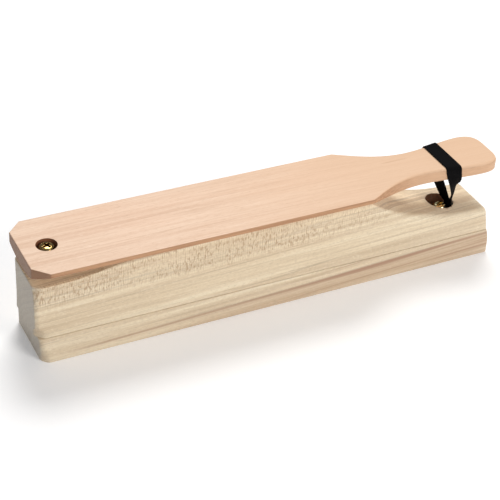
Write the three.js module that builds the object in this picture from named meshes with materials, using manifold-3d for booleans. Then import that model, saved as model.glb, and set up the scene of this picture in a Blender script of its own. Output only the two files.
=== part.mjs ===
// Box turkey call: a slim wooden sound box on a flared base board, with a paddle lid that swings on one
// screw over the box's thin lips, and an elastic strap that holds the handle down for carrying.
// Millimetres. +Z is up, +X runs from the pivot to the handle, and the origin is on the ground under the
// middle of the lid.
import * as THREE from "three";
import { mergeVertices } from "three/addons/utils/BufferGeometryUtils.js";
import Module from "manifold-3d";

const wasm = await Module();
wasm.setup();

// ---- driving dimensions ----
const LID_LENGTH = 242.4;
const LID_HALF_WIDTH = 21.6;
const LID_TOP = 51.75; // height of the lid's flat top over the ground
const LID_THICK = 8; // on the centre line
const LID_ARCH_RADIUS = 44.2; // underside, across the lid
const LID_CORNER = { along: 6.6, across: 6.7 }; // clipped corners at the pivot end
const SHOULDER_X = 165.5; // from the lid's pivot end
const NECK = { x: 200, half: 10.3 };
const GRIP = { x: 231.5, half: 13.9 };
const END_HALF = 4; // flat of the handle's rounded end

const PIVOT_X = 12.2; // from the lid's pivot end
const PIVOT_BORE = { radius: 4.8, depth: 3.85 };
const SHANK_RADIUS = 2;
const SHANK_CLEARANCE = 0.3;
const LID_HOLE_RADIUS = 2.4;

const BOX_START = 1.2; // from the lid's pivot end
const BASE_START = 2.35;
const BOX_END = 238.9;
const BASE_HEIGHT = 11.9;
const BASE_HALF = 18;
const BASE_EDGE = { side: 0.7, end: 1.2 }; // chamfers along the ground
const GLUE_GAP = 0.1;
const FOOT_HALF = 14.9; // half width where the box meets the base
const WAIST_HALF = 13.8;
const LIP_HALF = 13.8;
const CORNER_RADIUS = { pivot: 2.8, handle: 1.4 }; // upright corners of the sound box
const BASE_CORNER_RADIUS = { pivot: 4, handle: 1.6 };

const LID_GAP = 0.35; // between the lid's lowest line and the lips
const LIP_TOP = LID_TOP - LID_THICK - LID_GAP;
const PIVOT_BLOCK_TOP = 39.15;
const LIP_RISE = { start: 10, end: 56 }; // where the lips climb from the pivot block
const SCOOP = { radius: 112, low_x: 232, low_z: 24.3, end_round: 3.5 };

const CHAMBER = { start: 30, end: 159, half: 10.4, corner: 3 };

const SPRING = { radius: 3.4, wire: 0.45, turns: 6, pocket_radius: 4.3, pocket_floor: 33.2 };

const BAND_SCREW_X = 217.8;
const BAND_BORE = { radius: 7, depth: 7.25 };
// reach: half width of the handle under the strap. slant: of the handle's edges there.
const STRAP = { x: 215.4, reach: 11.82, slant: 0.16, width: 8, thick: 0.7, gap: 0.3, end_width: 5.2 };

const HEAD_HEIGHT = 2.3;
const WASHER_THICK = 0.75;
const STACK_GAP = 0.3; // between parts stacked on a screw
const CURVE_STEPS = 10;
const ROUND_STEPS = 32;
const WIDE = 60; // larger than any cross section, for cutting shapes

const toX = (fromLidEnd) => fromLidEnd - LID_LENGTH / 2;

// ---- materials ----
const wood = (color) => new THREE.MeshStandardMaterial({ color, roughness: 0.6, metalness: 0 });
const metal = (color) => new THREE.MeshStandardMaterial({ color, roughness: 0.25, metalness: 1 });
const pinkWood = wood(0xedc8a8);
const paleWood = wood(0xe0cba9);
const brass = metal(0xc79a3c);
const steel = metal(0xa8a8ac);
const elastic = new THREE.MeshStandardMaterial({ color: 0x171414, roughness: 0.9, metalness: 0 });

// ---- solids ----
function solidOf(geometry) {
  const bare = geometry.clone();
  bare.deleteAttribute("normal");
  bare.deleteAttribute("uv");
  const merged = mergeVertices(bare, 1e-4);
  return new wasm.Manifold(
    new wasm.Mesh({
      numProp: 3,
      vertProperties: merged.attributes.position.array,
      triVerts: new Uint32Array(merged.index.array),
    }),
  );
}

function meshOf(name, solid, material) {
  const made = solid.getMesh();
  const geometry = new THREE.BufferGeometry();
  geometry.setAttribute("position", new THREE.BufferAttribute(made.vertProperties, 3));
  geometry.setIndex(new THREE.BufferAttribute(made.triVerts, 1));
  geometry.computeVertexNormals();
  const mesh = new THREE.Mesh(geometry, material);
  mesh.name = name;
  return mesh;
}

const X_AXIS = new THREE.Vector3(1, 0, 0);
const Y_AXIS = new THREE.Vector3(0, 1, 0);
const Z_AXIS = new THREE.Vector3(0, 0, 1);

function extrude(shape, depth) {
  return new THREE.ExtrudeGeometry(shape, { depth, bevelEnabled: false, curveSegments: CURVE_STEPS });
}

// A plan outline, extruded upwards.
function upright(shape, bottom, top) {
  return solidOf(extrude(shape, top - bottom).translate(0, 0, bottom));
}

// A cross section drawn in Y and Z, extruded along X.
function lengthwise(shape, start, end) {
  const turn = new THREE.Matrix4().makeBasis(Y_AXIS, Z_AXIS, X_AXIS);
  return solidOf(extrude(shape, end - start).applyMatrix4(turn).translate(start, 0, 0));
}

// A side view drawn in X and Z, extruded across the whole width.
function crosswise(shape) {
  const turn = new THREE.Matrix4().makeBasis(X_AXIS, Z_AXIS, Y_AXIS.clone().negate());
  return solidOf(extrude(shape, WIDE).applyMatrix4(turn).translate(0, WIDE / 2, 0));
}

// A half section of [radius, height] points, turned about an upright axis at x.
function turned(points, x, steps = ROUND_STEPS) {
  const profile = points.map(([radius, height]) => new THREE.Vector2(radius, height));
  return solidOf(new THREE.LatheGeometry(profile, steps).rotateX(Math.PI / 2).translate(x, 0, 0));
}

function cylinder(radius, bottom, top, x) {
  return turned([[0, bottom], [radius, bottom], [radius, top], [0, top]], x);
}

function roundedPlan(start, end, half, radius, farRadius = radius) {
  const shape = new THREE.Shape();
  shape.moveTo(start + radius, -half);
  shape.lineTo(end - farRadius, -half);
  shape.absarc(end - farRadius, farRadius - half, farRadius, -Math.PI / 2, 0, false);
  shape.absarc(end - farRadius, half - farRadius, farRadius, 0, Math.PI / 2, false);
  shape.absarc(start + radius, half - radius, radius, Math.PI / 2, Math.PI, false);
  shape.absarc(start + radius, radius - half, radius, Math.PI, 1.5 * Math.PI, false);
  return shape;
}

// ---- lid ----
function lidOutline() {
  const end = toX(LID_LENGTH);
  const shape = new THREE.Shape();
  const side = (sign) => {
    const path = new THREE.CurvePath();
    const at = (x, half) => new THREE.Vector2(toX(x), sign * half);
    const shoulder = at(SHOULDER_X, LID_HALF_WIDTH);
    const neck = at(NECK.x, NECK.half);
    const grip = at(GRIP.x, GRIP.half);
    path.add(new THREE.CubicBezierCurve(shoulder, at(173.5, 17.6), at(184, 10.6), neck));
    path.add(new THREE.CubicBezierCurve(neck, at(210, NECK.half), at(224, GRIP.half), grip));
    path.add(
      new THREE.CubicBezierCurve(grip, at(238.5, GRIP.half), at(LID_LENGTH, 11.4), at(LID_LENGTH, END_HALF)),
    );
    return path.curves.flatMap((curve, i) => curve.getPoints(CURVE_STEPS).slice(i ? 1 : 0));
  };
  const clipHalf = LID_HALF_WIDTH - LID_CORNER.across;
  shape.moveTo(toX(0), -clipHalf);
  shape.lineTo(toX(LID_CORNER.along), -LID_HALF_WIDTH);
  side(-1).forEach((p) => shape.lineTo(p.x, p.y));
  shape.lineTo(end, END_HALF);
  side(1).reverse().slice(1).forEach((p) => shape.lineTo(p.x, p.y));
  shape.lineTo(toX(LID_CORNER.along), LID_HALF_WIDTH);
  shape.lineTo(toX(0), clipHalf);
  return shape;
}

// Everything above the arched underside: the lid is thickest along its middle.
function archSection() {
  const low = LID_TOP - LID_THICK;
  const shape = new THREE.Shape();
  const reach = Math.asin((LID_HALF_WIDTH + 1) / LID_ARCH_RADIUS);
  shape.absarc(0, low + LID_ARCH_RADIUS, LID_ARCH_RADIUS, -Math.PI / 2 - reach, -Math.PI / 2 + reach, false);
  shape.lineTo(LID_HALF_WIDTH + 1, LID_TOP);
  shape.lineTo(-LID_HALF_WIDTH - 1, LID_TOP);
  return shape;
}

function lid() {
  const slab = upright(lidOutline(), LID_TOP - LID_THICK - 1, LID_TOP + 1);
  const arched = lengthwise(archSection(), toX(-1), toX(LID_LENGTH + 1));
  const bore = cylinder(PIVOT_BORE.radius, LID_TOP - PIVOT_BORE.depth, LID_TOP + 1, toX(PIVOT_X));
  const hole = cylinder(LID_HOLE_RADIUS, LID_TOP - LID_THICK - 1, LID_TOP, toX(PIVOT_X));
  return meshOf("lid", slab.intersect(arched).subtract(bore).subtract(hole), pinkWood);
}

// ---- sound box and base ----
// Waisted sides that lean out to the glue line at the base.
function boxSection() {
  const shape = new THREE.Shape();
  const foot = BASE_HEIGHT + GLUE_GAP;
  shape.moveTo(-FOOT_HALF, foot);
  shape.lineTo(FOOT_HALF, foot);
  shape.bezierCurveTo(WAIST_HALF, foot + 5, WAIST_HALF, 30, LIP_HALF, LIP_TOP + 1);
  shape.lineTo(-LIP_HALF, LIP_TOP + 1);
  shape.bezierCurveTo(-WAIST_HALF, 30, -WAIST_HALF, foot + 5, -FOOT_HALF, foot);
  return shape;
}

// Side view: low pivot block, lips that climb to their full height, and the scooped handle block.
function boxSideView() {
  const shape = new THREE.Shape();
  const rise = LIP_TOP - SCOOP.low_z;
  const scoopStart = SCOOP.low_x - Math.sqrt(2 * SCOOP.radius * rise - rise * rise);
  const middle = (LIP_RISE.start + LIP_RISE.end) / 2;
  shape.moveTo(toX(BOX_START), BASE_HEIGHT);
  shape.lineTo(toX(BOX_END), BASE_HEIGHT);
  const round = SCOOP.end_round;
  shape.absarc(toX(BOX_END) - round, SCOOP.low_z - round, round, 0, Math.PI / 2, false);
  const turn = Math.asin((SCOOP.low_x - scoopStart) / SCOOP.radius);
  const down = -Math.PI / 2;
  shape.absarc(toX(SCOOP.low_x), SCOOP.low_z + SCOOP.radius, SCOOP.radius, down, down - turn, true);
  shape.lineTo(toX(LIP_RISE.end), LIP_TOP);
  shape.bezierCurveTo(
    toX(middle), LIP_TOP, toX(middle), PIVOT_BLOCK_TOP, toX(LIP_RISE.start), PIVOT_BLOCK_TOP,
  );
  shape.lineTo(toX(BOX_START), PIVOT_BLOCK_TOP);
  return shape;
}

const scoopHeight = (x) =>
  SCOOP.low_z + SCOOP.radius - Math.sqrt(SCOOP.radius ** 2 - (SCOOP.low_x - x) ** 2);
const BAND_RIM = scoopHeight(BAND_SCREW_X);
const BAND_FLOOR = BAND_RIM - BAND_BORE.depth;

function soundBox() {
  const { pivot, handle } = CORNER_RADIUS;
  const plan = roundedPlan(toX(BOX_START), toX(BOX_END), FOOT_HALF, pivot, handle);
  const chamber = roundedPlan(toX(CHAMBER.start), toX(CHAMBER.end), CHAMBER.half, CHAMBER.corner);
  const pilot = SHANK_RADIUS + SHANK_CLEARANCE;
  const pivotX = toX(PIVOT_X);
  const bandX = toX(BAND_SCREW_X);
  const made = upright(plan, 0, WIDE)
    .intersect(lengthwise(boxSection(), toX(0), toX(LID_LENGTH)))
    .intersect(crosswise(boxSideView()))
    .subtract(upright(chamber, 0, WIDE))
    .subtract(cylinder(SPRING.pocket_radius, SPRING.pocket_floor, WIDE, pivotX))
    .subtract(cylinder(pilot, PIVOT_TIP - SHANK_CLEARANCE, WIDE, pivotX))
    .subtract(cylinder(BAND_BORE.radius, BAND_FLOOR, WIDE, bandX))
    .subtract(cylinder(pilot, 0, WIDE, bandX));
  return meshOf("sound_box", made, paleWood);
}

function baseSection() {
  const shape = new THREE.Shape();
  shape.moveTo(BASE_EDGE.side - BASE_HALF, 0);
  shape.lineTo(BASE_HALF - BASE_EDGE.side, 0);
  shape.lineTo(BASE_HALF, BASE_EDGE.side);
  shape.lineTo(BASE_HALF, 1.6);
  shape.quadraticCurveTo(BASE_HALF - 0.4, 7, FOOT_HALF, BASE_HEIGHT);
  shape.lineTo(-FOOT_HALF, BASE_HEIGHT);
  shape.quadraticCurveTo(0.4 - BASE_HALF, 7, -BASE_HALF, 1.6);
  shape.lineTo(-BASE_HALF, BASE_EDGE.side);
  return shape;
}

function baseSideView() {
  const shape = new THREE.Shape();
  shape.moveTo(toX(BASE_START) + BASE_EDGE.end, 0);
  shape.lineTo(toX(BOX_END) - BASE_EDGE.end, 0);
  shape.lineTo(toX(BOX_END), BASE_EDGE.end);
  shape.lineTo(toX(BOX_END), BASE_HEIGHT);
  shape.lineTo(toX(BASE_START), BASE_HEIGHT);
  shape.lineTo(toX(BASE_START), BASE_EDGE.end);
  return shape;
}

function baseBoard() {
  const { pivot, handle } = BASE_CORNER_RADIUS;
  const plan = roundedPlan(toX(BASE_START), toX(BOX_END), BASE_HALF, pivot, handle);
  const pilot = cylinder(SHANK_RADIUS + SHANK_CLEARANCE, BAND_TIP - SHANK_CLEARANCE, WIDE, toX(BAND_SCREW_X));
  const made = upright(plan, -1, WIDE)
    .intersect(lengthwise(baseSection(), toX(0), toX(LID_LENGTH)))
    .intersect(crosswise(baseSideView()))
    .subtract(pilot);
  return meshOf("base_board", made, paleWood);
}

// ---- screws, washers and spring ----
// Cross-shaped driver recess, cut down from the top of a head.
function driverRecess(x, top, depth) {
  const arm = 1.7;
  const half = 0.42;
  const shape = new THREE.Shape();
  [
    [half, half], [half, arm], [-half, arm], [-half, half], [-arm, half], [-arm, -half],
    [-half, -half], [-half, -arm], [half, -arm], [half, -half], [arm, -half], [arm, half],
  ].forEach(([a, b], i) => (i ? shape.lineTo(x + a, b) : shape.moveTo(x + a, b)));
  return upright(shape, top - depth, top + 1);
}

function screw(name, fromLidEnd, headBottom, tip, headRadius) {
  const x = toX(fromLidEnd);
  const top = headBottom + HEAD_HEIGHT;
  const body = turned(
    [
      [0, tip],
      [SHANK_RADIUS * 0.35, tip + 0.6],
      [SHANK_RADIUS, tip + 4],
      [SHANK_RADIUS, headBottom],
      [headRadius, headBottom],
      [headRadius, headBottom + 0.7],
      [headRadius * 0.9, headBottom + 1.45],
      [headRadius * 0.65, headBottom + 2],
      [headRadius * 0.35, top - 0.06],
      [0, top],
    ],
    x,
  );
  return meshOf(name, body.subtract(driverRecess(x, top, 1.3)), brass);
}

function washer(name, fromLidEnd, bottom, outer) {
  const inner = SHANK_RADIUS + SHANK_CLEARANCE;
  const top = bottom + WASHER_THICK;
  const ring = [[inner, bottom], [outer, bottom], [outer, top - 0.2], [outer - 0.2, top], [inner, top]];
  return meshOf(name, turned([...ring, ring[0]], toX(fromLidEnd)), brass);
}

class Helix extends THREE.Curve {
  constructor(radius, bottom, top, turns, x) {
    super();
    Object.assign(this, { radius, bottom, top, turns, x });
  }
  // The end turns lie flatter than the middle ones, as on a closed-end spring.
  getPoint(t, target = new THREE.Vector3()) {
    const angle = 2 * Math.PI * this.turns * t;
    const eased = t - Math.sin(2 * Math.PI * t) / (4 * Math.PI);
    const height = this.bottom + (this.top - this.bottom) * eased;
    return target.set(this.x + this.radius * Math.cos(angle), this.radius * Math.sin(angle), height);
  }
}

function pivotSpring() {
  const clear = SPRING.wire + STACK_GAP;
  const path = new Helix(
    SPRING.radius, SPRING.pocket_floor + clear, LID_TOP - LID_THICK - clear, SPRING.turns, toX(PIVOT_X),
  );
  const section = new THREE.Shape().absarc(0, 0, SPRING.wire, 0, 2 * Math.PI, false);
  const wire = new THREE.ExtrudeGeometry(section, {
    steps: SPRING.turns * 14, curveSegments: 4, bevelEnabled: false, extrudePath: path,
  });
  return meshOf("pivot_spring", solidOf(wire), steel);
}

const PIVOT_WASHER_Z = LID_TOP - PIVOT_BORE.depth + STACK_GAP;
const PIVOT_HEAD_Z = PIVOT_WASHER_Z + WASHER_THICK + STACK_GAP;
const PIVOT_TIP = PIVOT_HEAD_Z - 25.4;
// Two strap ends lie under the band washer.
const BAND_WASHER_Z = BAND_FLOOR + 2 * (STRAP.thick + STACK_GAP) + STACK_GAP;
const BAND_HEAD_Z = BAND_WASHER_Z + WASHER_THICK + STACK_GAP;
const BAND_TIP = BAND_HEAD_Z - 13;

// ---- elastic strap ----
// One flat strap: from under the band washer, up and over the handle, and back. Each station is a point
// on its middle, the direction of its width, and its width; a creased one bends along the handle's edge.
function strapStations() {
  const screwX = toX(BAND_SCREW_X);
  const topX = toX(STRAP.x);
  const lie = STRAP.gap + STRAP.thick / 2; // from a surface to the strap's middle
  const sideY = STRAP.reach + lie;
  const bend = 0.9;
  // One leg: side is -1 or 1, drop its distance from the screw, shelf the height of its clamped end.
  const leg = (side, drop, shelf) => {
    const stations = [];
    const clamped = (x, z) => {
      stations.push({ at: [x, 0, z], wide: [0, -side, 0], width: STRAP.end_width });
    };
    const alongEdge = [Math.cos(STRAP.slant), side * Math.sin(STRAP.slant), 0];
    const onHandle = (y, z) => {
      stations.push({ at: [topX, side * y, z], wide: alongEdge, width: STRAP.width, creased: true });
    };
    clamped(screwX + SHANK_RADIUS + SHANK_CLEARANCE + 0.4, shelf);
    for (const angle of [0, Math.PI / 6, Math.PI / 3, Math.PI / 2]) {
      clamped(screwX + drop - bend + bend * Math.sin(angle), shelf + bend * (1 - Math.cos(angle)));
    }
    clamped(screwX + drop, BAND_RIM - 1);
    const low = new THREE.Vector3(screwX + drop, 0, BAND_RIM - 1);
    const high = new THREE.Vector3(topX, side * sideY, LID_TOP - 7.8);
    const steps = 8;
    for (let i = 1; i < steps; i++) {
      const share = i / steps;
      const turn = THREE.MathUtils.smoothstep(share, 0, 1) * (Math.PI / 2 + STRAP.slant);
      stations.push({
        at: low.clone().lerp(high, share).toArray(),
        wide: [Math.sin(turn), -side * Math.cos(turn), 0],
        width: THREE.MathUtils.lerp(STRAP.end_width, STRAP.width, share),
      });
    }
    onHandle(sideY, high.z);
    for (const angle of [0, Math.PI / 6, Math.PI / 3, Math.PI / 2]) {
      const y = sideY - bend * (1 - Math.cos(angle));
      onHandle(y, LID_TOP + lie - bend * (1 - Math.sin(angle)));
    }
    return stations;
  };
  const outer = BAND_BORE.radius - 0.65 - STRAP.thick / 2;
  const inner = outer - STRAP.thick - STRAP.gap;
  const lowShelf = BAND_FLOOR + lie;
  const highShelf = lowShelf + STRAP.thick + STACK_GAP;
  return [...leg(1, outer, lowShelf), ...leg(-1, inner, highShelf).reverse()];
}

function elasticStrap() {
  const stations = strapStations();
  const points = stations.map((s) => new THREE.Vector3(...s.at));
  const corners = [];
  stations.forEach((station, i) => {
    const before = points[Math.max(0, i - 1)];
    const after = points[Math.min(points.length - 1, i + 1)];
    const along = after.clone().sub(before).normalize();
    const wide = new THREE.Vector3(...station.wide);
    if (!station.creased) wide.addScaledVector(along, -wide.dot(along)).normalize();
    const normal = new THREE.Vector3().crossVectors(along, wide).normalize();
    for (const [a, b] of [[-1, -1], [1, -1], [1, 1], [-1, 1]]) {
      const corner = points[i].clone().addScaledVector(wide, (a * station.width) / 2);
      corners.push(...corner.addScaledVector(normal, (b * STRAP.thick) / 2).toArray());
    }
  });
  const faces = [0, 2, 1, 0, 3, 2];
  for (let i = 0; i + 1 < stations.length; i++) {
    for (let k = 0; k < 4; k++) {
      const [a, b] = [4 * i + k, 4 * i + ((k + 1) % 4)];
      faces.push(a, b, b + 4, a, b + 4, a + 4);
    }
  }
  const last = 4 * (stations.length - 1);
  faces.push(last, last + 1, last + 2, last, last + 2, last + 3);
  const geometry = new THREE.BufferGeometry();
  geometry.setAttribute("position", new THREE.Float32BufferAttribute(corners, 3));
  geometry.setIndex(faces);
  return meshOf("elastic_strap", solidOf(geometry), elastic);
}

// ---- assembly ----
const group = new THREE.Group();
group.add(
  baseBoard(),
  soundBox(),
  lid(),
  screw("pivot_screw", PIVOT_X, PIVOT_HEAD_Z, PIVOT_TIP, 3.6),
  washer("pivot_washer", PIVOT_X, PIVOT_WASHER_Z, 4.4),
  pivotSpring(),
  screw("band_screw", BAND_SCREW_X, BAND_HEAD_Z, BAND_TIP, 4.2),
  washer("band_washer", BAND_SCREW_X, BAND_WASHER_Z, 4.2),
  elasticStrap(),
);
export default group;
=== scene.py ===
# Box turkey call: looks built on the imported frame. Lengths in the shape code are millimetres.
import math

import bpy
from mathutils import Matrix, Vector


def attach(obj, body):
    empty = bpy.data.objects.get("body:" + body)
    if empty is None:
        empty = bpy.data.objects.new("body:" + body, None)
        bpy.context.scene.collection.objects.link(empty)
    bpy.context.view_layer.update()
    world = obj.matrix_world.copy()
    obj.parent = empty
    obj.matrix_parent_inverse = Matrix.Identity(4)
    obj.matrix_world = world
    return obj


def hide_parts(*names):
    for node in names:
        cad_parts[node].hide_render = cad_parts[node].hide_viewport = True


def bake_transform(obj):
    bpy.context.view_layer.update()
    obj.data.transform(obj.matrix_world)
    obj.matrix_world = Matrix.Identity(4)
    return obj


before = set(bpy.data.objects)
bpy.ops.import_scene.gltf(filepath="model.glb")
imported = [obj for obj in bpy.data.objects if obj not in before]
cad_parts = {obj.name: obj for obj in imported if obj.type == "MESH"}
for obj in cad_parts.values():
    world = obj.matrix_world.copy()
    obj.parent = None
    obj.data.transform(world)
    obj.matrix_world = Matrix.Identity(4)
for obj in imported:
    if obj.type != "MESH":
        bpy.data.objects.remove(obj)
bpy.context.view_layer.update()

MM = 0.001

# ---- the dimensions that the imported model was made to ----
LID_LENGTH = 242.4
LID_HALF = 21.6
LID_TOP = 51.75
LID_THICK = 8.0
ARCH_RADIUS = 44.2
CLIP = (6.6, 6.7)
SHOULDER_X = 165.5
NECK = (200.0, 10.3)
GRIP = (231.5, 13.9)
END_HALF = 4.0
PIVOT_X = 12.2
PIVOT_BORE = (4.8, 3.85)
LID_HOLE = 2.4
BOX_START = 1.2
BOX_END = 238.9
BASE_START = 2.35
BASE_HEIGHT = 11.9
BASE_HALF = 18.0
FOOT = 12.0
FOOT_HALF = 14.9
WAIST_HALF = 13.8
LIP_TOP = 43.4
PIVOT_BLOCK_TOP = 39.15
LIP_RISE = (10.0, 56.0)
SCOOP = dict(radius=112.0, low_x=232.0, low_z=24.3, end_round=3.5)
CHAMBER = dict(start=30.0, end=159.0, half=10.4, corner=3.0)
SPRING = dict(radius=3.4, wire=0.45, turns=6, pocket=4.3, floor=33.2)
SHANK = 2.0
BAND_X = 217.8
BAND_BORE = (7.0, 7.25)
BAND_SCREW = (BAND_X - LID_LENGTH / 2 + 0.8, -0.3)  # driven a little off the bore's centre
STRAP_X = 215.4
STRAP_REACH = 11.82
STRAP_SLANT = 0.16
RIM_TWIST = math.radians(28)


def row_x(from_lid_end):
    return from_lid_end - LID_LENGTH / 2


def lerp(a, b, t):
    return a + (b - a) * t


def smooth(a, b, x):
    t = min(1.0, max(0.0, (x - a) / (b - a)))
    return t * t * (3 - 2 * t)


def rounding(radius, depth):
    """How far a rounded edge of that radius has dropped, at that depth in from its end."""
    if depth >= radius:
        return 0.0
    inner = radius - max(depth, 0.0)
    return radius - math.sqrt(max(radius * radius - inner * inner, 0.0))


def worn_edge(radius, depth):
    """Like rounding, but nearly a flat chamfer, as a worn corner is."""
    if depth >= radius:
        return 0.0
    inner = 1 - max(depth, 0.0) / radius
    return radius * (1 - max(1 - inner**1.25, 0.0) ** 0.8)


def bezier(p0, p1, p2, p3, t):
    s = 1 - t
    return tuple(
        s**3 * a + 3 * s * s * t * b + 3 * s * t * t * c + t**3 * d for a, b, c, d in zip(p0, p1, p2, p3)
    )


# ---- shader helpers ----
class Shader:
    """A material's node tree, written as expressions."""

    def __init__(self, name):
        self.material = bpy.data.materials.new(name)
        self.material.use_nodes = True
        self.tree = self.material.node_tree
        self.tree.nodes.clear()

    def add(self, kind, inputs=None, out=0, **settings):
        made = self.tree.nodes.new(kind)
        for key, value in settings.items():
            setattr(made, key, value)
        for key, value in (inputs or {}).items():
            socket = made.inputs[key]
            if isinstance(value, bpy.types.NodeSocket):
                self.tree.links.new(value, socket)
            else:
                socket.default_value = value
        return made.outputs[out]

    def math(self, operation, a, b=0.0):
        return self.add("ShaderNodeMath", {0: a, 1: b}, operation=operation)

    def plus(self, a, b):
        return self.math("ADD", a, b)

    def times(self, a, b):
        return self.math("MULTIPLY", a, b)

    def point(self, scale=(1, 1, 1), shift=(0, 0, 0)):
        """The row frame's position in metres, shifted and then scaled."""
        place = self.add("ShaderNodeTexCoord", out=3)
        moved = self.add("ShaderNodeVectorMath", {0: place, 1: shift}, operation="ADD")
        return self.add("ShaderNodeVectorMath", {0: moved, 1: scale}, operation="MULTIPLY")

    def axes(self, vector):
        made = self.tree.nodes.new("ShaderNodeSeparateXYZ")
        self.tree.links.new(vector, made.inputs[0])
        return made.outputs[0], made.outputs[1], made.outputs[2]

    def joined(self, x, y, z):
        return self.add("ShaderNodeCombineXYZ", {0: x, 1: y, 2: z})

    def noise(self, vector, detail=2.0, rough=0.5):
        return self.add(
            "ShaderNodeTexNoise", {"Vector": vector, "Scale": 1.0, "Detail": detail, "Roughness": rough}
        )

    def range(self, value, low, high, to_low=0.0, to_high=1.0):
        """The value eased from low..high to to_low..to_high, and held outside."""
        inputs = {0: value, 1: low, 2: high, 3: to_low, 4: to_high}
        return self.add("ShaderNodeMapRange", inputs, interpolation_type="SMOOTHSTEP")

    def ramp(self, value, stops):
        made = self.tree.nodes.new("ShaderNodeValToRGB")
        self.tree.links.new(value, made.inputs[0])
        elements = made.color_ramp.elements
        while len(elements) < len(stops):
            elements.new(0.5)
        for element, (place, colour) in zip(elements, stops):
            element.position = place
            element.color = (*colour, 1)
        return made.outputs[0]

    def mix(self, factor, a, b):
        made = self.tree.nodes.new("ShaderNodeMix")
        made.data_type = "RGBA"
        for socket, value in ((made.inputs[0], factor), (made.inputs[6], a), (made.inputs[7], b)):
            if isinstance(value, bpy.types.NodeSocket):
                self.tree.links.new(value, socket)
            elif isinstance(value, tuple):
                socket.default_value = (*value, 1)
            else:
                socket.default_value = value
        return made.outputs[2]

    def bump(self, height, distance, strength=1.0, normal=None):
        inputs = {"Height": height, "Distance": distance, "Strength": strength}
        if normal:
            inputs["Normal"] = normal
        return self.add("ShaderNodeBump", inputs)

    def finish(self, **inputs):
        """The material, with the surface shader's inputs given as base_color=... and so on."""
        shader = self.tree.nodes.new("ShaderNodeBsdfPrincipled")
        for key, value in inputs.items():
            socket = shader.inputs[key.replace("_", " ").title().replace("Ior", "IOR")]
            if isinstance(value, bpy.types.NodeSocket):
                self.tree.links.new(value, socket)
            else:
                socket.default_value = (*value, 1) if isinstance(value, tuple) else value
        out = self.tree.nodes.new("ShaderNodeOutputMaterial")
        self.tree.links.new(shader.outputs[0], out.inputs[0])
        return self.material


# ---- materials ----
def bore_mask(sh, x, radius, low):
    """1 on the walls and floor of a drilled hole about an upright axis, 0 elsewhere."""
    px, py, pz = sh.axes(sh.point(shift=(-x * MM, 0, 0)))
    away = sh.math("SQRT", sh.plus(sh.times(px, px), sh.times(py, py)))
    inside = sh.math("LESS_THAN", away, (radius + 0.06) * MM)
    above = sh.math("GREATER_THAN", pz, low * MM)
    return sh.times(inside, above)


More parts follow.
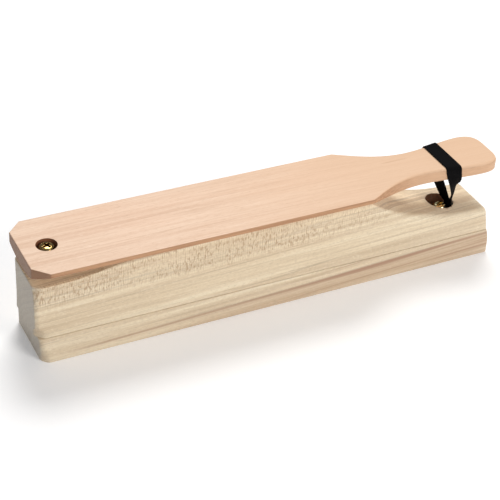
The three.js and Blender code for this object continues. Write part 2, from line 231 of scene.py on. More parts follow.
def lid_wood():
    sh = Shader("lid_wood")
    drift = sh.noise(sh.point((5, 30, 30)), detail=2)
    warp = sh.times(sh.plus(drift, -0.5), 0.004)
    px, py, pz = sh.axes(sh.point())
    y = sh.plus(sh.plus(py, sh.times(px, 0.022)), sh.plus(warp, 0.061))
    z = sh.plus(sh.plus(pz, warp), 0.03)
    reach = sh.math("SQRT", sh.plus(sh.times(y, y), sh.times(z, z)))
    bands = sh.noise(sh.joined(sh.times(reach, 520), sh.times(px, 4), 0.3), detail=4, rough=0.6)
    lines = sh.noise(sh.joined(sh.times(reach, 1150), sh.times(px, 9), 4.7), detail=2)
    lines = sh.range(lines, 0.60, 0.74)
    fibre = sh.noise(sh.point((30, 1100, 1100)), detail=4, rough=0.62)
    cloud = sh.noise(sh.point((14, 45, 45), shift=(0.3, 0.1, 0)), detail=2)
    pores = sh.range(sh.noise(sh.point((150, 3600, 3600)), detail=2), 0.62, 0.75)
    colour = sh.ramp(
        bands, [(0.30, (0.815, 0.590, 0.430)), (0.52, (0.770, 0.540, 0.385)), (0.75, (0.690, 0.455, 0.310))]
    )
    colour = sh.mix(sh.range(cloud, 0.45, 0.75, 0, 0.35), colour, (0.80, 0.50, 0.335))
    colour = sh.mix(sh.times(lines, 0.34), colour, (0.58, 0.345, 0.215))
    rings = sh.noise(sh.joined(sh.times(reach, 330), sh.times(px, 3), 9.1), detail=2)
    rings = sh.range(sh.math("ABSOLUTE", sh.plus(rings, -0.5)), 0.020, 0.0)
    colour = sh.mix(sh.times(rings, 0.26), colour, (0.50, 0.29, 0.17))
    colour = sh.mix(sh.range(fibre, 0.45, 0.74, 0, 0.34), colour, (0.62, 0.40, 0.265))
    colour = sh.mix(sh.range(fibre, 0.46, 0.28, 0, 0.30), colour, (0.88, 0.685, 0.525))
    colour = sh.mix(sh.times(pores, 0.42), colour, (0.38, 0.215, 0.125))
    flecks = sh.noise(sh.joined(sh.times(px, 330), sh.times(py, 1350), sh.times(pz, 1350)), detail=3, rough=0.7)
    colour = sh.mix(sh.range(flecks, 0.54, 0.70, 0, 0.38), colour, (0.56, 0.35, 0.22))
    colour = sh.mix(sh.range(flecks, 0.44, 0.30, 0, 0.30), colour, (0.92, 0.75, 0.60))
    # A darker mineral fleck in the neck.
    fx, fy, _ = sh.axes(sh.point(shift=(-row_x(189) * MM, -0.0045, 0)))
    long = sh.times(sh.plus(fx, sh.times(sh.plus(drift, -0.5), 0.02)), 105)
    across = sh.times(sh.plus(fy, sh.times(warp, 0.8)), 1150)
    off = sh.plus(sh.times(long, long), sh.times(across, across))
    fleck = sh.times(sh.range(off, 1.0, 0.15), sh.range(fibre, 0.30, 0.60, 0.25, 1.0))
    colour = sh.mix(sh.times(fleck, 0.85), colour, (0.38, 0.20, 0.10))
    # The sawn and sanded edges are browner than the planed top.
    _, _, nz = sh.axes(sh.add("ShaderNodeNewGeometry", out=1))
    edge = sh.range(sh.math("ABSOLUTE", nz), 0.90, 0.30)
    colour = sh.mix(sh.range(px, -0.08, 0.105, 0, 0.80), colour, (0.70, 0.450, 0.275))
    edge_tone = sh.ramp(fibre, [(0.3, (0.52, 0.275, 0.135)), (0.7, (0.34, 0.165, 0.078))])
    slim = sh.range(px, 0.085, 0.050, 0.42, 0.95)
    colour = sh.mix(sh.times(edge, slim), colour, edge_tone)
    # The pivot end's faces are darker still: partly darker end grain, partly painted shade, as these faces turn
    # away from the lamps.
    end_grain_and_shade = sh.times(edge, sh.range(px, -0.1120, -0.1165))
    colour = sh.mix(sh.times(end_grain_and_shade, 0.85), colour, (0.235, 0.115, 0.056))
    # Painted shade: the walls of the drilled counterbore are painted darker, as they lie in shade.
    walls = bore_mask(sh, row_x(PIVOT_X), PIVOT_BORE[0], LID_TOP - LID_THICK - 1)
    walls = sh.times(walls, sh.range(pz, (LID_TOP - 0.02) * MM, (LID_TOP - 0.2) * MM))
    turned = sh.noise(sh.point((160, 160, 4200)), detail=2)
    pivot_bore_shade = sh.ramp(turned, [(0.3, (0.15, 0.046, 0.020)), (0.7, (0.30, 0.12, 0.055))])
    colour = sh.mix(walls, colour, pivot_bore_shade)
    normal = sh.bump(fibre, 0.00010, 0.55)
    normal = sh.bump(pores, 0.00006, -0.5, normal)
    rough = sh.range(fibre, 0.3, 0.7, 0.47, 0.60)
    return sh.finish(base_color=colour, roughness=rough, normal=normal)


def box_wood(name, seed, base=False):
    sh = Shader(name)
    sx, sy, sz = seed
    drift = sh.noise(sh.point((4, 22, 22), shift=seed), detail=2)
    warp = sh.times(sh.plus(drift, -0.5), 0.0035)
    px, py, pz = sh.axes(sh.point())
    y = sh.plus(sh.plus(py, sh.times(px, -0.02)), sh.plus(warp, 0.050 + sy * 0.01))
    z = sh.plus(sh.plus(pz, sh.times(px, -0.026)), sh.plus(warp, 0.030 + sz * 0.01))
    reach = sh.math("SQRT", sh.plus(sh.times(y, y), sh.times(z, z)))
    bands = sh.noise(sh.joined(sh.times(reach, 330), sh.times(px, 2.5), sx), detail=4, rough=0.62)
    lines = sh.noise(sh.joined(sh.times(reach, 760), sh.times(px, 5), sx + 5.3), detail=3, rough=0.6)
    lines = sh.range(lines, 0.575, 0.70)
    fibre = sh.noise(sh.point((18, 760, 760), shift=seed), detail=4, rough=0.6)
    cloud = sh.noise(sh.point((9, 40, 40), shift=seed), detail=3)
    pores = sh.range(sh.noise(sh.point((90, 2900, 2900), shift=seed), detail=2), 0.60, 0.74)
    colour = sh.ramp(
        bands,
        [(0.28, (0.830, 0.735, 0.555)), (0.44, (0.770, 0.645, 0.460)),
         (0.58, (0.680, 0.545, 0.375)), (0.74, (0.560, 0.425, 0.275))],
    )
    colour = sh.mix(sh.range(cloud, 0.46, 0.72, 0, 0.45), colour, (0.66, 0.545, 0.405))
    colour = sh.mix(sh.times(lines, 0.58), colour, (0.47, 0.365, 0.25))
    rings = sh.noise(sh.joined(sh.times(reach, 210), sh.times(px, 1.6), sx + 8.4), detail=3, rough=0.55)
    rings = sh.range(sh.math("ABSOLUTE", sh.plus(rings, -0.5)), 0.022, 0.0)
    rings = sh.times(rings, sh.range(cloud, 0.36, 0.60, 0.45, 1.0))
    colour = sh.mix(sh.times(rings, 0.68), colour, (0.40, 0.315, 0.225))
    speckle = sh.noise(sh.point((620, 1500, 1500), shift=seed), detail=3, rough=0.7)
    colour = sh.mix(sh.range(speckle, 0.50, 0.72, 0, 0.42), colour, (0.50, 0.40, 0.285))
    colour = sh.mix(sh.range(speckle, 0.46, 0.30, 0, 0.35), colour, (0.90, 0.81, 0.66))
    colour = sh.mix(sh.range(fibre, 0.44, 0.74, 0, 0.40), colour, (0.54, 0.42, 0.28))
    colour = sh.mix(sh.range(fibre, 0.46, 0.28, 0, 0.30), colour, (0.85, 0.755, 0.59))
    colour = sh.mix(sh.times(pores, 0.26), colour, (0.38, 0.26, 0.15))
    normal = sh.bump(fibre, 0.00012, 0.6)
    normal = sh.bump(pores, 0.00006, -0.5, normal)
    if base:
        # Heartwood: a reddish line that climbs towards the handle, and a browner tone beyond it.
        height = sh.plus(sh.plus(pz, sh.times(warp, 0.6)), sh.plus(sh.times(px, -0.032), -0.0068))
        beyond = sh.times(sh.range(height, 0.0016, -0.0012), sh.range(px, -0.10, 0.03, 0.15, 1.0))
        colour = sh.mix(sh.times(beyond, 0.50), colour, (0.50, 0.335, 0.215))
        brown = sh.noise(sh.joined(sh.times(reach, 900), sh.times(px, 8), 2.2), detail=4, rough=0.65)
        brown = sh.times(sh.range(brown, 0.50, 0.68), sh.range(px, -0.06, 0.04, 0.2, 1.0))
        colour = sh.mix(sh.times(brown, 0.42), colour, (0.42, 0.265, 0.165))
        streaks = sh.noise(sh.joined(sh.times(reach, 620), sh.times(px, 5), 6.6), detail=3, rough=0.6)
        reddish = sh.times(sh.range(streaks, 0.52, 0.66), sh.range(px, -0.02, 0.05, 0.1, 1.0))
        colour = sh.mix(sh.times(reddish, 0.72), colour, (0.40, 0.235, 0.150))
        pale = sh.times(sh.range(streaks, 0.46, 0.34), sh.range(px, -0.02, 0.05, 0.1, 1.0))
        colour = sh.mix(sh.times(pale, 0.55), colour, (0.72, 0.575, 0.425))
        seam = sh.range(sh.math("ABSOLUTE", height), 0.0009, 0.0001)
        seam = sh.times(seam, sh.range(px, -0.115, -0.085))
        colour = sh.mix(sh.times(seam, 0.60), colour, (0.36, 0.19, 0.115))
    else:
        # Fine upright saw marks along the upper sides, with brown specks caught in them.
        jitter = sh.noise(sh.point((50, 50, 26)), detail=2)
        teeth = sh.math("SINE", sh.plus(sh.times(px, 5600), sh.times(jitter, 30)))
        teeth = sh.times(sh.plus(teeth, 1), 0.5)
        patchy = sh.range(sh.noise(sh.point((45, 45, 110)), detail=3), 0.34, 0.54, 0.45, 1.0)
        ragged = sh.noise(sh.point((30, 30, 60), shift=(2.1, 0, 0)), detail=3)
        lower = sh.plus(pz, sh.times(sh.plus(ragged, -0.5), 0.010))
        where = sh.times(sh.range(lower, 0.0265, 0.0335), sh.range(px, 0.080, 0.010, 0.20, 1.0))
        outside = sh.range(sh.math("ABSOLUTE", py), 0.0112, 0.0121)
        where = sh.times(sh.times(where, outside), patchy)
        specks = sh.range(sh.noise(sh.point((1250, 1250, 430)), detail=2, rough=0.6), 0.50, 0.64)
        colour = sh.mix(sh.times(sh.times(teeth, where), 0.38), colour, (0.47, 0.355, 0.235))
        colour = sh.mix(sh.times(sh.times(specks, where), 0.72), colour, (0.41, 0.265, 0.155))
        normal = sh.bump(sh.times(teeth, where), 0.00006, 0.8, normal)
        # Painted shade: the walls of the band screw's counterbore are painted dark, as they lie in shade.
        walls = bore_mask(sh, row_x(BAND_X), BAND_BORE[0], 12)
        rim = scoop_height(BAND_X) * MM
        walls = sh.times(walls, sh.range(pz, rim + 0.0006, rim - 0.0002))
        turned = sh.noise(sh.point((160, 160, 4200)), detail=2)
        band_bore_shade = sh.ramp(turned, [(0.3, (0.10, 0.040, 0.018)), (0.7, (0.22, 0.10, 0.046))])
        colour = sh.mix(walls, colour, band_bore_shade)
    # End grain drinks more finish and is greyer; this darker, greyer mix also holds painted shade for the end
    # faces, which the lamps leave in cool shade.
    nx, _, _ = sh.axes(sh.add("ShaderNodeNewGeometry", out=1))
    end = sh.range(sh.math("ABSOLUTE", nx), 0.70, 0.95)
    colour = sh.mix(sh.times(end, 0.75), colour, (0.405, 0.365, 0.315))
    rough = sh.range(fibre, 0.3, 0.7, 0.52, 0.66)
    return sh.finish(base_color=colour, roughness=rough, normal=normal)


def brass(name, dark, middle, pale):
    sh = Shader(name)
    smudge = sh.noise(sh.point((520, 520, 520)), detail=4, rough=0.6)
    scratch = sh.noise(sh.point((900, 5200, 900)), detail=2)
    colour = sh.ramp(smudge, [(0.3, dark), (0.55, middle), (0.8, pale)])
    rough = sh.range(smudge, 0.3, 0.75, 0.12, 0.26)
    normal = sh.bump(scratch, 0.00002, 0.35)
    return sh.finish(base_color=colour, metallic=1.0, roughness=rough, normal=normal)


def spring_steel():
    sh = Shader("spring_steel")
    drawn = sh.noise(sh.point((1500, 1500, 2600)), detail=3)
    colour = sh.ramp(drawn, [(0.3, (0.42, 0.42, 0.43)), (0.7, (0.64, 0.64, 0.65))])
    rough = sh.range(drawn, 0.3, 0.7, 0.22, 0.38)
    return sh.finish(base_color=colour, metallic=1.0, roughness=rough, normal=sh.bump(drawn, 0.00002, 0.4))


def woven_elastic():
    """Black braided elastic: the map's u runs across the strap and v along it, both in millimetres."""
    rib_pitch, thread_pitch = 0.82, 0.46
    sh = Shader("elastic")
    u, v, _ = sh.axes(sh.add("ShaderNodeUVMap", uv_map="weave"))
    rib = sh.math("ABSOLUTE", sh.math("SINE", sh.times(u, math.pi / rib_pitch)))
    lean = sh.math("PINGPONG", u, rib_pitch)
    thread = sh.math("SINE", sh.times(sh.plus(v, sh.times(lean, 0.55)), 2 * math.pi / thread_pitch))
    thread = sh.times(sh.plus(thread, 1), 0.5)
    fuzz = sh.noise(sh.point((2600, 2600, 2600)), detail=3)
    height = sh.plus(sh.times(rib, 0.75), sh.times(thread, 0.45))
    colour = sh.ramp(
        height, [(0.1, (0.0008, 0.0007, 0.0008)), (0.6, (0.0022, 0.0019, 0.0022)), (1.0, (0.005, 0.0042, 0.0048))]
    )
    colour = sh.mix(sh.range(fuzz, 0.60, 0.78, 0, 0.3), colour, (0.013, 0.011, 0.013))
    normal = sh.bump(height, 0.00016, 0.8)
    normal = sh.bump(fuzz, 0.00005, 0.5, normal)
    return sh.finish(base_color=colour, roughness=0.82, specular_ior_level=0.07, normal=normal)


def floor_paint():
    sh = Shader("floor")
    mottle = sh.noise(sh.point((3, 3, 3)), detail=2)
    colour = sh.ramp(mottle, [(0.3, (0.88, 0.88, 0.885)), (0.7, (0.90, 0.90, 0.90))])
    return sh.finish(base_color=colour, roughness=0.85, emission_color=(1, 1, 1), emission_strength=0.16)


# ---- mesh helpers ----
def piece(name, vertices, faces, material, slot, body, *replaced):
    """A mesh object made in millimetres, riding on a body and standing for CAD nodes."""
    mesh = bpy.data.meshes.new(name)
    mesh.from_pydata([tuple(c * MM for c in v) for v in vertices], [], faces)
    mesh.validate()
    mesh.shade_smooth()
    made = bpy.data.objects.new(name, mesh)
    bpy.context.scene.collection.objects.link(made)
    if material:
        mesh.materials.append(material)
    if body:
        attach(made, body)
    if replaced:
        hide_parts(*replaced)
    return made


def even_normals(made):
    made.modifiers.new("normals", "WEIGHTED_NORMAL").keep_sharp = True


def lofted(loops):
    """Vertices and faces of a closed solid through loops of equal length, with flat ends."""
    count = len(loops[0])
    vertices = [point for loop in loops for point in loop]
    faces = []
    for i in range(len(loops) - 1):
        for k in range(count):
            a, b = i * count + k, i * count + (k + 1) % count
            faces.append((a, a + count, b + count, b))
    faces.append(tuple(range(count)))
    faces.append(tuple(reversed(range((len(loops) - 1) * count, len(loops) * count))))
    return vertices, faces


def turned(profile, x, steps=64, y=0.0):
    """A solid of revolution about an upright axis: profile is [(radius, height)], from axis to axis."""
    vertices, rows = [], []
    for radius, height in profile:
        if radius < 1e-6:
            rows.append([len(vertices)] * steps)
            vertices.append((x, y, height))
            continue
        rows.append(list(range(len(vertices), len(vertices) + steps)))
        for k in range(steps):
            a = 2 * math.pi * k / steps
            vertices.append((x + radius * math.cos(a), y + radius * math.sin(a), height))
    faces = []
    for low, high in zip(rows, rows[1:]):
        for k in range(steps):
            n = (k + 1) % steps
            face = []
            for index in (low[k], low[n], high[n], high[k]):
                if index not in face:
                    face.append(index)
            faces.append(tuple(face))
    return vertices, faces


def cutter(vertices, faces):
    return piece("cutter", vertices, faces, None, None, None)


def cut(made, *tools):
    for tool in tools:
        change = made.modifiers.new("cut", "BOOLEAN")
        change.operation = "DIFFERENCE"
        change.solver = "EXACT"
        change.object = tool
    bpy.context.view_layer.update()
    graph = bpy.context.evaluated_depsgraph_get()
    result = bpy.data.meshes.new_from_object(made.evaluated_get(graph))
    made.modifiers.clear()
    made.data = result
    for tool in tools:
        bpy.data.objects.remove(tool)


# ---- lid ----
def arch(y):
    return LID_TOP - LID_THICK + ARCH_RADIUS - math.sqrt(ARCH_RADIUS**2 - y * y)


def lid_rows():
    """(x from the pivot end, half width) along one side of the lid."""
    clip_half = LID_HALF - CLIP[1]
    rows = [(0.0, clip_half)]
    for t in (0.03, 0.06, 0.35, 0.65, 0.94, 0.97):
        rows.append((lerp(0, CLIP[0], t), lerp(clip_half, LID_HALF, t)))
    rows.append((CLIP[0], LID_HALF))
    rows += [(CLIP[0] + 0.25, LID_HALF), (CLIP[0] + 0.6, LID_HALF)]
    rows += [(lerp(CLIP[0], SHOULDER_X, i / 32), LID_HALF) for i in range(1, 32)]
    shoulder, end = (SHOULDER_X, LID_HALF), (LID_LENGTH, END_HALF)
    curves = (
        (shoulder, (173.5, 17.6), (184, 10.6), NECK),
        (NECK, (210, NECK[1]), (224, GRIP[1]), GRIP),
        (GRIP, (238.5, GRIP[1]), (LID_LENGTH, 11.4), end),
    )
    for number, curve in enumerate(curves):
        rows += [bezier(*curve, i / 22) for i in range(1 if number else 0, 23)]
    return rows


def lid():
    rows = lid_rows()
    across = 28
    last = len(rows) - 1
    # The outline as a ring of (row, column), anticlockwise from above.
    ring = [(i, 0) for i in range(last)]
    ring += [(last, j) for j in range(across)]
    ring += [(i, across) for i in range(last, 0, -1)]
    ring += [(0, j) for j in range(across, 0, -1)]

    def outline(i, j):
        x, half = rows[i]
        return Vector((x, lerp(-half, half, j / across)))

    flat = [outline(i, j) for i, j in ring]
    inward = []
    for k, here in enumerate(flat):
        before = (here - flat[k - 1]).normalized()
        after = (flat[(k + 1) % len(flat)] - here).normalized()
        normal = Vector((-before.y - after.y, before.x + after.x)).normalized()
        spread = max(0.6, normal.dot(Vector((-after.y, after.x))))
        inward.append(normal / spread)

    def top_round(x):
        return lerp(0.4, 1.5, smooth(160, 192, x))

    def under_round(x):
        return lerp(0.35, 1.3, smooth(160, 192, x))

    steps = 5
    levels = []
    for s in range(steps + 1):
        a = s / steps * math.pi / 2
        levels.append(("under", 1 - math.sin(a), 1 - math.cos(a)))
    for s in range(steps + 1):
        a = s / steps * math.pi / 2
        levels.append(("top", 1 - math.cos(a), 1 - math.sin(a)))
    vertices, faces = [], []
    loops = []
    for kind, inset, rise in levels:
        loop = []
        for here, normal in zip(flat, inward):
            radius = top_round(here.x) if kind == "top" else under_round(here.x)
            place = here + normal * radius * inset
            z = LID_TOP - radius * rise if kind == "top" else arch(place.y) + radius * rise
            loop.append(len(vertices))
            vertices.append((row_x(place.x), place.y, z))
        loops.append(loop)
    count = len(ring)
    for low, high in zip(loops, loops[1:]):
        for k in range(count):
            n = (k + 1) % count
            faces.append((low[k], low[n], high[n], high[k]))
    for loop, is_top in ((loops[0], False), (loops[-1], True)):
        index = {cell: loop[k] for k, cell in enumerate(ring)}
        for i in range(1, last):
            left, right = vertices[index[(i, 0)]], vertices[index[(i, across)]]
            for j in range(1, across):
                y = lerp(left[1], right[1], j / across)
                index[(i, j)] = len(vertices)
                vertices.append((left[0], y, LID_TOP if is_top else arch(y)))
        for i in range(last):
            for j in range(across):
                face = (index[(i, j)], index[(i + 1, j)], index[(i + 1, j + 1)], index[(i, j + 1)])
                faces.append(face if is_top else tuple(reversed(face)))
    made = piece("lid_paddle", vertices, faces, lid_wood(), "lid_wood", "lid", "lid")
    x = row_x(PIVOT_X)
    radius, depth = PIVOT_BORE
    floor = LID_TOP - depth
    under, chamfer = LID_TOP - LID_THICK - 2, 0.18
    drill = [
        (0, under), (LID_HOLE, under), (LID_HOLE, floor), (radius, floor), (radius, LID_TOP - chamfer),
        (radius + chamfer, LID_TOP), (radius + 0.6, LID_TOP + 1), (0, LID_TOP + 1),
    ]
    cut(made, cutter(*turned(drill, x, 96)))
    even_normals(made)


# ---- sound box ----
def scoop_height(x):
    if x >= SCOOP["low_x"]:
        return SCOOP["low_z"]
    return SCOOP["low_z"] + SCOOP["radius"] - math.sqrt(SCOOP["radius"] ** 2 - (SCOOP["low_x"] - x) ** 2)


SCOOP_START = SCOOP["low_x"] - math.sqrt(
    2 * SCOOP["radius"] * (LIP_TOP - SCOOP["low_z"]) - (LIP_TOP - SCOOP["low_z"]) ** 2
)


def box_top(x):
    if x <= LIP_RISE[0]:
        return PIVOT_BLOCK_TOP - rounding(0.7, x - BOX_START)
    if x < LIP_RISE[1]:
        middle = (LIP_RISE[0] + LIP_RISE[1]) / 2
        low, high = 0.0, 1.0
        for _ in range(30):
            t = (low + high) / 2
            if bezier((LIP_RISE[0],), (middle,), (middle,), (LIP_RISE[1],), t)[0] < x:
                low = t
            else:
                high = t
        return bezier((PIVOT_BLOCK_TOP,), (PIVOT_BLOCK_TOP,), (LIP_TOP,), (LIP_TOP,), t)[0]
    if x < SCOOP_START:
        return LIP_TOP
    return scoop_height(x) - rounding(SCOOP["end_round"], BOX_END - x)


def box_half(z):
    """Half width of the sound box at a height: it leans out to the glue line."""
    t = smooth(FOOT, FOOT + 12, z)
    return lerp(FOOT_HALF, WAIST_HALF, math.sqrt(t))


def pivot_corner(sign, z):
    """Radius of the upright corners at the pivot end: sanded by hand, so it wanders on the near side."""
    if sign > 0:
        return 2.2
    torn = 3.6 * smooth(19, 13.6, z) * (0.86 + 0.14 * smooth(11, 13, z))
    chipped = 1.7 * smooth(32, 38, z) * (1 - 0.35 * smooth(39.5, 42, z))
    return 1.5 + torn + chipped + 0.35 * math.sin(z * 1.3 + 2) + 0.2 * math.sin(z * 2.9 + 1)


def end_spaced(start, end, reach, count, dense):
    """Places from start to end, packed towards both ends over the given reach."""
    near = [start + reach * (1 - math.cos(math.pi / 2 * i / dense)) for i in range(dense)]
    far = [start + end - x for x in reversed(near)]
    inner = [lerp(start + reach, end - reach, i / count) for i in range(count + 1)]
    return near + inner + far


def sound_box():
    loops = []
    stations = end_spaced(BOX_START, BOX_END, 4.0, 150, 9)
    stations = sorted(set(stations) | {SCOOP_START, SCOOP_START - 0.6, SCOOP_START + 0.6})
    for x in stations:
        top = box_top(x)
        edge = lerp(0.5, 2.7, smooth(SCOOP_START - 2, SCOOP_START + 26, x))
        joint = 0.22

        def flank(sign):
            """Half width and height up one side, rounded at the box's ends and along its top edge."""

            def half_at(z):
                worn = worn_edge if sign < 0 else rounding
                handle_end = rounding(lerp(0.9, 3.0, smooth(FOOT, 24, z)), BOX_END - x)
                return box_half(z) - worn(pivot_corner(sign, z), x - BOX_START) - handle_end

            made = [(half_at(FOOT) - joint, FOOT), (half_at(FOOT + joint), FOOT + joint)]
            for i in range(1, 45):
                z = lerp(FOOT + joint, top - edge, i / 44)
                made.append((half_at(z), z))
            half = half_at(top - edge)
            for i in range(1, 8):
                a = math.pi / 2 * i / 7
                made.append((half - edge * (1 - math.cos(a)), top - edge * (1 - math.sin(a))))
            return made

        near, far = flank(-1), flank(1)
        flat = [(lerp(-near[-1][0], far[-1][0], i / 16), top) for i in range(1, 16)]
        under = [(lerp(far[0][0], -near[0][0], i / 8), FOOT) for i in range(1, 8)]
        loop = [(-y, z) for y, z in near] + flat + [(y, z) for y, z in reversed(far)] + under
        loops.append([(row_x(x), y, z) for y, z in loop])
    wood = box_wood("box_wood", (0.0, 0.0, 0.0))
    made = piece("sound_box_body", *lofted(loops), wood, "box_wood", "box", "sound_box")
    corner = CHAMBER["corner"]
    near_x, far_x, side = CHAMBER["start"] + corner, CHAMBER["end"] - corner, CHAMBER["half"] - corner
    outline = []
    for quarter, (cx, cy) in enumerate(((far_x, side), (near_x, side), (near_x, -side), (far_x, -side))):
        for i in range(9):
            a = math.pi / 2 * (quarter + i / 8)
            outline.append((row_x(cx + corner * math.cos(a)), cy + corner * math.sin(a)))
    hollow = [[(x, y, z) for x, y in reversed(outline)] for z in (5, 60)]
    pivot, band = row_x(PIVOT_X), row_x(BAND_X)
    rim = scoop_height(BAND_X)
    pocket = [(0, 15), (SHANK + 0.3, 15), (SHANK + 0.3, SPRING["floor"]),
              (SPRING["pocket"], SPRING["floor"]), (SPRING["pocket"], 60), (0, 60)]
    well = [(0, rim - BAND_BORE[1]), (BAND_BORE[0], rim - BAND_BORE[1]), (BAND_BORE[0], 60), (0, 60)]
    pilot = [(0, 5), (SHANK + 0.3, 5), (SHANK + 0.3, rim - 5), (0, rim - 5)]
    cut(
        made, cutter(*lofted(hollow)), cutter(*turned(pocket, pivot)), cutter(*turned(well, band, 96)),
        cutter(*turned(pilot, BAND_SCREW[0], 64, BAND_SCREW[1])),
    )
    even_normals(made)


# ---- base board ----
def base_half(z):
    if z < 0.8:
        return BASE_HALF - rounding(0.8, z)
    if z < 1.6:
        return BASE_HALF
    low, high = 0.0, 1.0
    for _ in range(30):
        t = (low + high) / 2
        if (1 - t) ** 2 * 1.6 + 2 * t * (1 - t) * 7 + t * t * BASE_HEIGHT < z:
            low = t
        else:
            high = t
    return (1 - t) ** 2 * BASE_HALF + 2 * t * (1 - t) * (BASE_HALF - 0.4) + t * t * FOOT_HALF


def soft_min(a, b, blend):
    h = max(blend - abs(a - b), 0.0) / blend
    return min(a, b) - h * h * blend / 4


def base_board():
    loops = []
    for x in end_spaced(BASE_START, BOX_END, 5.0, 90, 12):
        handle_end = rounding(1.6, BOX_END - x)
        floor = rounding(1.2, x - BASE_START) + rounding(1.2, BOX_END - x)
        heights = [0, 0.06, 0.18, 0.36, 0.58, 0.8, 1.2, 1.6, 2.4, 3.4, 4.4, 5.4, 6.3, 7.1, 7.9, 8.6,
                   9.2, 9.8, 10.3, 10.8, 11.3, BASE_HEIGHT - 0.15, BASE_HEIGHT]
        sides = []
        for sign in (-1, 1):
            side = []
            for z in heights:
                seam = 0.2 if z == BASE_HEIGHT else 0.0
                lifted = lerp(floor, BASE_HEIGHT, z / BASE_HEIGHT)
                if sign > 0:
                    cut_back = rounding(4.0, x - BASE_START)
                else:
                    worn = 4.6 - 1.1 * math.sin(math.pi * z / BASE_HEIGHT) + 0.2 * math.sin(z * 2.3)
                    cut_back = worn_edge(worn, x - BASE_START)
                limit = BASE_HALF - handle_end - cut_back
                side.append((soft_min(base_half(z), limit, 0.8) - seam, lifted))
            sides.append(side)
        near, far = sides
        flat = [(lerp(-near[-1][0], far[-1][0], i / 8), BASE_HEIGHT) for i in range(1, 8)]
        under = [(lerp(far[0][0], -near[0][0], i / 8), floor) for i in range(1, 8)]
        loop = [(-y, z) for y, z in near] + flat + [(y, z) for y, z in reversed(far)] + under
        loops.append([(row_x(x), y, z) for y, z in loop])
    wood = box_wood("base_wood", (1.3, 0.4, 0.2), base=True)
    even_normals(piece("base_plank", *lofted(loops), wood, "box_wood", "box", "base_board"))


# ---- screws, washers and spring ----
PIVOT_WASHER = LID_TOP - PIVOT_BORE[1] + 0.3
PIVOT_HEAD = PIVOT_WASHER + 1.05
BAND_RIM = scoop_height(BAND_X)
BAND_FLOOR = BAND_RIM - BAND_BORE[1]
BAND_WASHER = BAND_FLOOR + 2.3
BAND_HEAD = BAND_WASHER + 1.05


def screw(name, node, place, bottom, tip, radius, turn, material):
    """A pan head with a cross recess on a shank that tapers to its point."""
    height, wall, (x, y) = 2.3, 1.05, place
    profile = [(0, tip), (0.7, tip + 0.6), (SHANK, tip + 4), (SHANK, bottom), (radius - 0.15, bottom),
               (radius, bottom + 0.15), (radius, bottom + wall)]
    for i in range(1, 13):
        a = math.pi / 2 * i / 12
        reach = radius * math.cos(a) ** 0.52 if i < 12 else 0
        profile.append((reach, bottom + wall + (height - wall) * math.sin(a)))
    made = piece(name, *turned(profile, x, 72, y), material, "brass", "box", node)
    loops = []
    for level, arm, half in ((-1.8, 0.9, 0.32), (-1.35, 1.5, 0.42), (0.2, 0.70 * radius, 0.17 * radius)):
        corners = [(half, half), (half, arm), (-half, arm), (-half, half), (-arm, half), (-arm, -half),
                   (-half, -half), (-half, -arm), (half, -arm), (half, -half), (arm, -half), (arm, half)]
        loop = []
        for a, b in reversed(corners):
            across = a * math.cos(turn) - b * math.sin(turn)
            along = a * math.sin(turn) + b * math.cos(turn)
            loop.append((x + across, y + along, bottom + height + level))
        loops.append(loop)
    cut(made, cutter(*lofted(loops)))
    made.modifiers.new("weld", "WELD").merge_threshold = 0.00002
    made.modifiers.new("edges", "BEVEL").width = 0.00006
    made.modifiers["edges"].segments = 2
    made.modifiers["edges"].limit_method = "ANGLE"
    even_normals(made)


def washer(name, node, x, bottom, outer, material):
    inner, top = SHANK + 0.3, bottom + 0.75
    ring = [(inner, bottom), (outer - 0.15, bottom), (outer, bottom + 0.15), (outer, top - 0.25),
            (outer - 0.08, top - 0.08), (outer - 0.25, top), (inner + 0.15, top), (inner, top - 0.1)]
    steps = 72
    vertices, faces = [], []
    for radius, height in ring:
        for k in range(steps):
            a = 2 * math.pi * k / steps
            vertices.append((x + radius * math.cos(a), radius * math.sin(a), height))
    count = len(ring)
    for i in range(count):
        for k in range(steps):
            n, j = (k + 1) % steps, (i + 1) % count
            faces.append((i * steps + k, i * steps + n, j * steps + n, j * steps + k))
    even_normals(piece(name, vertices, faces, material, "brass", "box", node))


def spring(material):
    x = row_x(PIVOT_X)
    low, high = SPRING["floor"] + SPRING["wire"] + 0.3, LID_TOP - LID_THICK - SPRING["wire"] - 0.3
    steps, sides = SPRING["turns"] * 44, 14
    loops = []
    for i in range(steps + 1):
        t = i / steps
        a = 2 * math.pi * SPRING["turns"] * t
        eased = t - math.sin(2 * math.pi * t) / (4 * math.pi)
        out = Vector((math.cos(a), math.sin(a), 0))
        centre = Vector((x, 0, lerp(low, high, eased))) + out * SPRING["radius"]
        loop = []
        for k in range(sides):
            b = 2 * math.pi * k / sides
            spoke = out * math.cos(b) + Vector((0, 0, 1)) * math.sin(b)
            loop.append(tuple(centre + spoke * SPRING["wire"]))
        loops.append(loop)
    piece("pivot_coil", *lofted(loops), material, "spring_steel", "box", "pivot_spring")


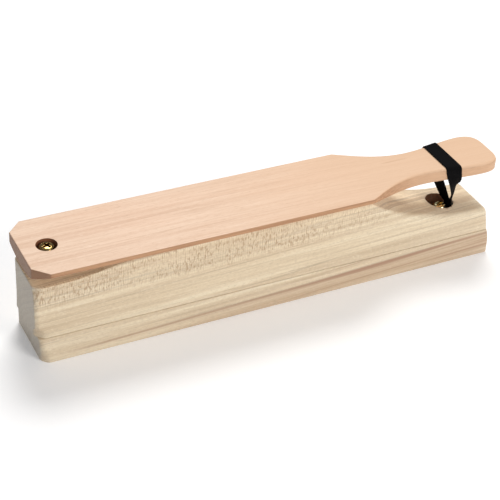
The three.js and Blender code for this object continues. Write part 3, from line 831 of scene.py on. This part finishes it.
# ---- strap ----
def strap(material):
    """One woven strap: clamped in the counterbore, twisting up each leg, and over the handle."""
    width, thick = 8.0, 0.7
    lie = 0.06 + thick / 2
    top_x, screw_x = row_x(STRAP_X), row_x(BAND_X)
    top_round, under_round = 1.5, 1.3
    side_y = STRAP_REACH + lie
    under = arch(STRAP_REACH)

    def leg(side, drop, shelf, rim_x, rim_y, rim_width, twist):
        """Stations [middle, direction of the width, width], from the clamped end to the handle's top edge."""
        made = []
        start, bend = screw_x + SHANK + 1.3, 0.9
        foot = screw_x + drop
        clamped, clamped_width = Vector((0, -side, 0)), 5.0
        for i in range(4):
            made.append([Vector((lerp(start, foot - bend, i / 4), 0, shelf)), clamped, clamped_width])
        for i in range(6):
            a = math.pi / 2 * i / 5
            place = Vector((foot - bend + bend * math.sin(a), 0, shelf + bend * (1 - math.cos(a))))
            made.append([place, clamped, clamped_width])
        # The legs part inside the counterbore, then each twists until it lies along the handle's edge.
        rim = Vector((screw_x + rim_x, side * rim_y, BAND_RIM - 0.2))
        knee = Vector((top_x + 0.9, side * (side_y - 0.12), under + 0.6))
        high = Vector((top_x + 0.6, side * side_y, under + under_round + 0.7))
        low = made[-1][0]
        lean = (knee - rim).normalized()
        for i in range(1, 9):
            t = i / 8
            place = low.lerp(rim, t)
            place.x = lerp(foot, rim.x, smooth(0.4, 1.0, t))
            turn = RIM_TWIST * smooth(0.3, 1.1, t)
            wide = Vector((math.sin(turn), -side * math.cos(turn), 0))
            made.append([place, wide, lerp(clamped_width, rim_width, t)])
        steps, bent, flat = 34, 0.91, math.pi / 2 + STRAP_SLANT
        for i in range(1, steps):
            t = i / steps
            if t < bent:
                bow = Vector((0.2, side * 0.4, 0)) * math.sin(math.pi * t / bent)
                place = rim.lerp(knee, t / bent) + bow
            else:
                place = knee.lerp(high, (t - bent) / (1 - bent))
            turn = lerp(RIM_TWIST, twist, smooth(0, 0.25, t))
            turn = lerp(turn, flat, smooth(0.42, 1.0, t))
            wide = Vector((math.sin(turn), -side * math.cos(turn), 0))
            level = 1 - smooth(0.35, 1.0, t)
            wide = (wide - lean * wide.dot(lean) * level).normalized()
            span = lerp(rim_width, 7.6, smooth(0.1, 1.0, t))
            # Near the handle the edge that touches it stays put, so the middle swings outwards.
            open_by = math.sin(flat - turn) * smooth(0.55, 0.9, t)
            made.append([place + Vector((0, side * span / 2 * open_by, 0)), wide, span])
        edge = Vector((math.cos(STRAP_SLANT), side * math.sin(STRAP_SLANT), 0))
        made.append([high, edge, 7.65])
        middle = lerp(high.z, LID_TOP - top_round, 0.6)
        made.append([Vector((top_x + 0.2, side * side_y, middle)), edge, 7.9])
        centre = Vector((top_x, side * (STRAP_REACH - top_round), LID_TOP - top_round))
        for i in range(9):
            a = math.pi / 2 * i / 8
            reach = top_round + lie
            place = centre + Vector((0, side * reach * math.cos(a), reach * math.sin(a)))
            made.append([place, edge, width])
        return made

    shelf = BAND_FLOOR + 0.3 + thick / 2
    near = leg(-1, 5.4, shelf + 1.0, rim_x=5.3, rim_y=2.6, rim_width=4.0, twist=math.radians(48))
    far = leg(1, 6.0, shelf, rim_x=5.0, rim_y=2.4, rim_width=5.0, twist=math.radians(38))
    over = []
    for i in range(1, 12):
        t = i / 12
        a = lerp(-STRAP_SLANT, STRAP_SLANT, t)
        place = near[-1][0].lerp(far[-1][0], t)
        over.append([place, Vector((math.cos(a), math.sin(a), 0)), width])
    stations = near + over + far[::-1]
    columns = 44
    vertices, faces, uv = [], [], []
    length = 0.0
    for i, (middle, wide, span) in enumerate(stations):
        before, after = stations[max(i - 1, 0)][0], stations[min(i + 1, len(stations) - 1)][0]
        along = (after - before).normalized()
        normal = along.cross(wide).normalized()
        if i:
            length += (middle - stations[i - 1][0]).length
        for face in (1, -1):
            for k in range(columns + 1):
                u = (k / columns - 0.5) * (1 if face == 1 else -1)
                rib = 0.035 * math.cos(2 * math.pi * 9 * (u + 0.5))
                edge = smooth(0.5, 0.455, abs(u))
                lift = face * ((thick / 2 - 0.04) * (0.35 + 0.65 * edge) - rib * edge)
                ripple = 0.02 * math.sin(length * 2.3 + u * 9)
                vertices.append(tuple(middle + wide * (u * span) + normal * (lift + ripple)))
                uv.append((u * width, length))
    ring = 2 * (columns + 1)
    for i in range(len(stations) - 1):
        for k in range(ring):
            n = (k + 1) % ring
            faces.append((i * ring + k, (i + 1) * ring + k, (i + 1) * ring + n, i * ring + n))
    faces.append(tuple(range(ring)))
    last = (len(stations) - 1) * ring
    faces.append(tuple(reversed(range(last, last + ring))))
    made = piece("woven_strap", vertices, faces, material, "elastic", None, "elastic_strap")
    layer = made.data.uv_layers.new(name="weave")
    for loop in made.data.loops:
        layer.data[loop.index].uv = uv[loop.vertex_index]
    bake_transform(made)
    print("strap length", round(length, 1))


# ---- camera and light ----
def camera():
    data = bpy.data.cameras.new("camera")
    data.sensor_width = 36
    data.lens = 104.36
    made = bpy.data.objects.new("camera", data)
    bpy.context.scene.collection.objects.link(made)
    right = Vector((0.8994, -0.4341, 0.0508)).normalized()
    up = Vector((0.2138, 0.5383, 0.8152)).normalized()
    back = right.cross(up)
    place = Vector((-0.27096, -0.49729, 0.41962))
    made.matrix_world = Matrix(((*right, 0), (*up, 0), (*back, 0), (*place, 1))).transposed()
    bpy.context.scene.camera = made


def area_light(name, place, aim, size, power, colour):
    data = bpy.data.lights.new(name, "AREA")
    data.shape = "DISK"
    data.size = size
    data.energy = power
    data.color = colour
    made = bpy.data.objects.new(name, data)
    bpy.context.scene.collection.objects.link(made)
    made.location = place
    made.rotation_euler = (Vector(aim) - Vector(place)).to_track_quat("-Z", "Y").to_euler()


def light():
    world = bpy.data.worlds.new("studio")
    bpy.context.scene.world = world
    world.use_nodes = True
    background = world.node_tree.nodes["Background"]
    background.inputs[0].default_value = (0.88, 0.93, 1.0, 1)
    background.inputs[1].default_value = 0.32
    area_light("front", (0.5, -1.2, 0.75), (0, 0, 0.02), 0.7, 12.1, (1.0, 0.965, 0.92))
    area_light("overhead", (0.35, 0.75, 1.35), (0, 0, 0.02), 0.8, 17.9, (1.0, 0.98, 0.955))


def floor():
    size = 3.0
    mesh = bpy.data.meshes.new("floor")
    corners = [(-size, -size, 0), (size, -size, 0), (size, size, 0), (-size, size, 0)]
    mesh.from_pydata(corners, [], [(0, 1, 2, 3)])
    mesh.materials.append(floor_paint())
    made = bpy.data.objects.new("floor", mesh)
    made.location.z = -0.0001
    bpy.context.scene.collection.objects.link(made)


camera()
light()
floor()
lid()
sound_box()
base_board()
aged_brass = brass("aged_brass", (0.16, 0.095, 0.030), (0.34, 0.225, 0.080), (0.66, 0.50, 0.24))
# Painted light: a lighter copy of the brass for the band screw, which sits in the handle's shade, so that it
# looks lit.
painted_lit_brass = brass("painted_lit_brass", (0.72, 0.56, 0.28), (0.86, 0.72, 0.42), (0.95, 0.85, 0.58))
pivot_screw = row_x(PIVOT_X), 0
screw("pivot_screw_head", "pivot_screw", pivot_screw, PIVOT_HEAD, PIVOT_HEAD - 25.4, 3.65, 0.5, aged_brass)
screw("band_screw_head", "band_screw", BAND_SCREW, BAND_HEAD, BAND_HEAD - 13, 3.2, 0.2, painted_lit_brass)
washer("pivot_ring", "pivot_washer", row_x(PIVOT_X), PIVOT_WASHER, 4.4, aged_brass)
washer("band_ring", "band_washer", row_x(BAND_X), BAND_WASHER, 4.2, aged_brass)
spring(spring_steel())
strap(woven_elastic())

bpy.context.scene.view_settings.view_transform = "Standard"
bpy.context.scene.view_settings.look = "None"
